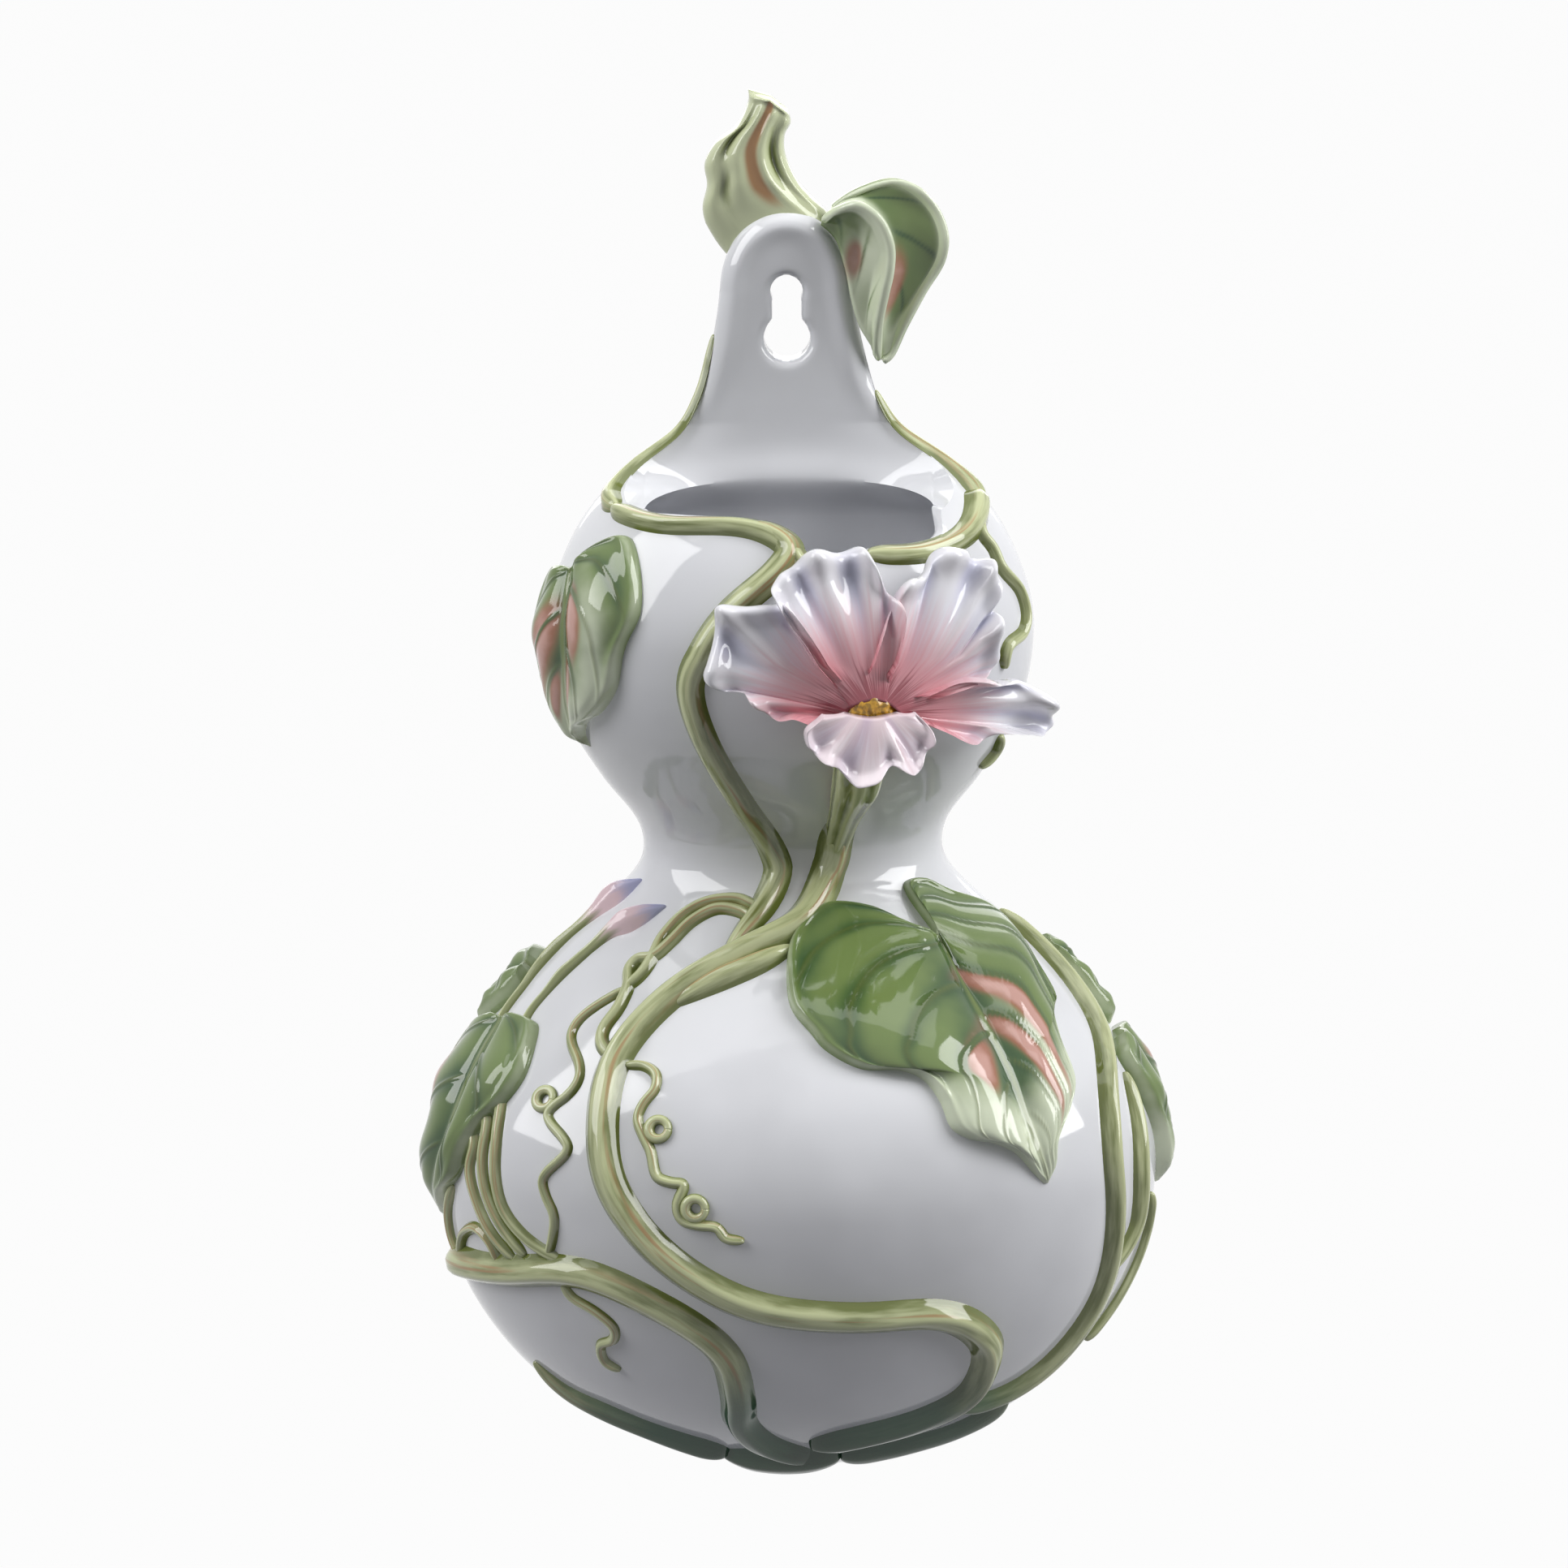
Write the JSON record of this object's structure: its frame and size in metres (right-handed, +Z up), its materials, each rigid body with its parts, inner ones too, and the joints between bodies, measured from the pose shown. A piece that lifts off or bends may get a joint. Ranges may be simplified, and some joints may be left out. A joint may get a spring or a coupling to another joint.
{
  "type": "hanging wall vase",
  "caption": "Double-gourd wall pocket vase in glazed porcelain with a keyhole hanging tab, relief vines, leaves, tendrils, buds and one open flower.",
  "frame": {"origin": "centre of the keyhole's narrow upper lobe, on the flat back", "axes": "+X right as seen from the front, +Y into the wall, +Z up; the wall is the plane y = 0 and the vase stands out along -Y"},
  "size_m": [0.1955, 0.1027, 0.3567],
  "materials": {
    "white_glaze": "gloss",
    "vine_glaze": "gloss",
    "leaf_glaze": "gloss",
    "bud_glaze": "gloss",
    "petal_glaze": "gloss",
    "disc_glaze": "gloss"
  },
  "bodies": {
    "root": {"back_plate": "white_glaze", "pocket_shell": "white_glaze", "hanging_tab": "white_glaze", "stem_stub": "vine_glaze", "top_leaf": "leaf_glaze", "rim_vine_left": "vine_glaze", "rim_vine_right": "vine_glaze", "shoulder_vine_left": "vine_glaze", "shoulder_vine_right": "vine_glaze", "s_vine": "vine_glaze", "main_vine": "vine_glaze", "lower_left_vine": "vine_glaze", "bottom_vine_left": "vine_glaze", "bottom_vine_right": "vine_glaze", "foot_knot": "vine_glaze", "right_vine": "vine_glaze", "right_branch": "vine_glaze", "left_stalk_outer": "vine_glaze", "left_stalk_inner": "vine_glaze", "twin_tendril_outer": "vine_glaze", "twin_tendril_inner": "vine_glaze", "left_tendril": "vine_glaze", "left_tendril_tail": "vine_glaze", "middle_tendril": "vine_glaze", "right_tendril": "vine_glaze", "side_tendril": "vine_glaze", "corner_tendril": "vine_glaze", "tendril_curls": "vine_glaze", "front_leaf": "leaf_glaze", "upper_left_leaf": "leaf_glaze", "lower_left_leaf": "leaf_glaze", "left_back_leaf": "leaf_glaze", "right_leaf": "leaf_glaze", "right_upper_leaf": "leaf_glaze", "front_bud": "bud_glaze", "side_bud": "bud_glaze", "calyx": "vine_glaze", "flower_throat": "petal_glaze", "flower_disc": "disc_glaze", "petal_left": "petal_glaze", "petal_top": "petal_glaze", "petal_right_top": "petal_glaze", "petal_right": "petal_glaze", "petal_bottom": "petal_glaze"}
  },
  "joints": []
}
